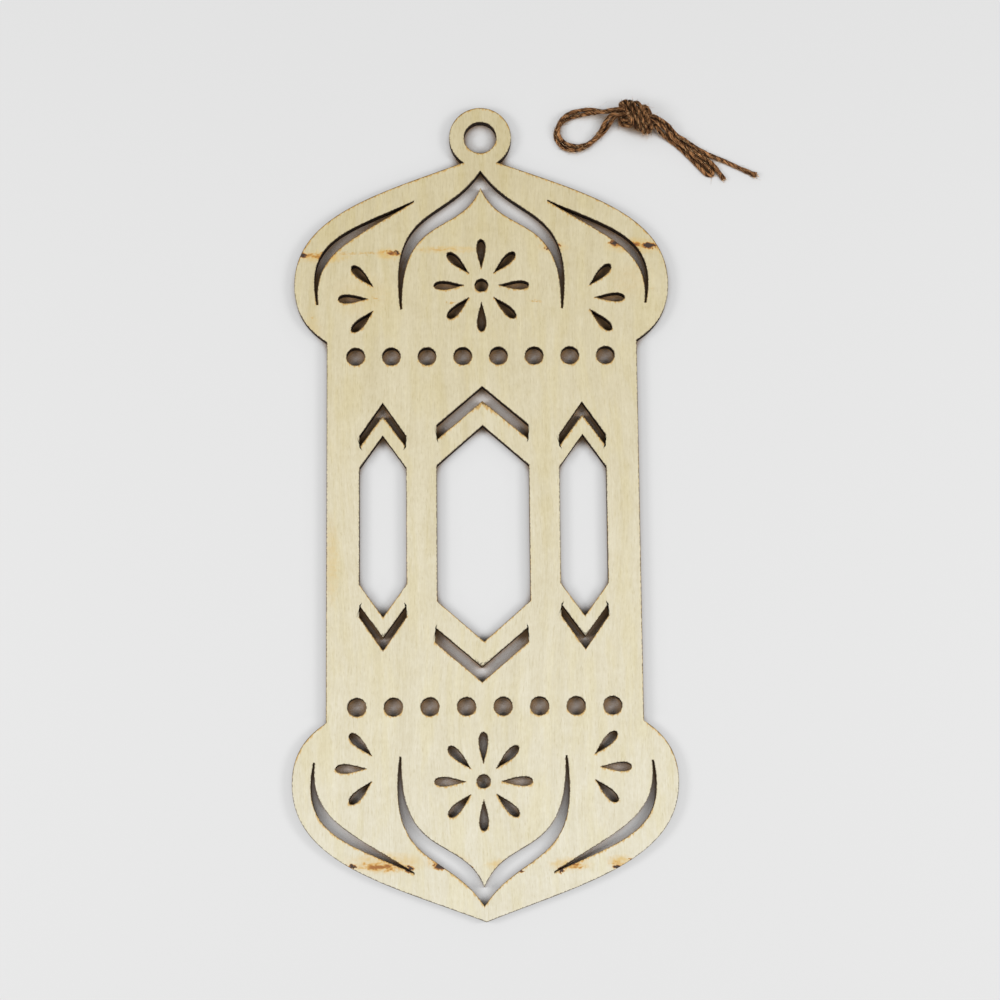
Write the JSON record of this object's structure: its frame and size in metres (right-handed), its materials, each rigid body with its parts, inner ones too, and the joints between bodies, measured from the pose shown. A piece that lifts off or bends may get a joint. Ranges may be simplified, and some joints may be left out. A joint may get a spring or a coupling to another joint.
{
  "type": "hanging ornament",
  "caption": "Flat lantern-shaped laser-cut plywood ornament with a hanging eye, cut windows and flowers, and a knotted jute twine lying beside it.",
  "frame": {"origin": "under the middle of the panel's outline, on the surface that the back face lies on", "axes": "+X to the right of the face, +Y along the panel towards its hanging eye, +Z out of the front face"},
  "size_m": [0.1061, 0.187, 0.0068],
  "materials": {
    "veneer_back": "bare basswood veneer, laser-charred edges",
    "veneer_core": "bare cross-grain core veneer, charred where cut",
    "veneer_face": "bare sanded basswood veneer, brown burn marks along the cuts",
    "jute": "brown two-ply jute twine with loose fibres"
  },
  "bodies": {
    "panel": {"back_veneer": "veneer_back", "core_veneer": "veneer_core", "front_veneer": "veneer_face"},
    "twine": {"jute_twine": "jute"}
  },
  "joints": [
    {"name": "twine_lift_off", "type": "slide", "parent": "panel", "child": "twine", "axis": [0, 0, 1], "range_m": [0, 0.05]}
  ]
}
